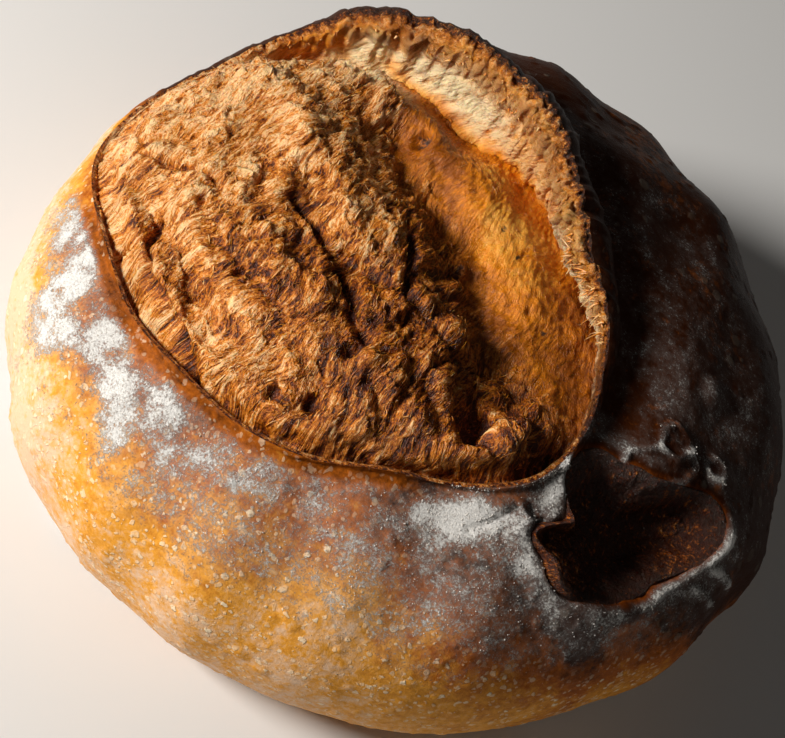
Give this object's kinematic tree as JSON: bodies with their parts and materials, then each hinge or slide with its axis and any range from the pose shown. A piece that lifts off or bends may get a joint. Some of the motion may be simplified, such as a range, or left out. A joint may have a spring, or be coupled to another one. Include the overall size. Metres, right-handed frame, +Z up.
{
  "type": "sourdough loaf",
  "caption": "Round crusty bread loaf with a wide torn score, a raised ear of crust along its back and a side tear.",
  "frame": {"origin": "on the table, under the middle of the loaf's flat base", "axes": "+Z up; +X towards the end of the score where the second tear is; +Y towards the ear of crust, away from the viewer of the torn crumb"},
  "size_m": [0.2345, 0.2337, 0.1116],
  "materials": {
    "crust": "browned, floured crust with a golden torn crumb, mostly matt"
  },
  "bodies": {
    "root": {"sourdough_loaf": "crust"}
  },
  "joints": []
}
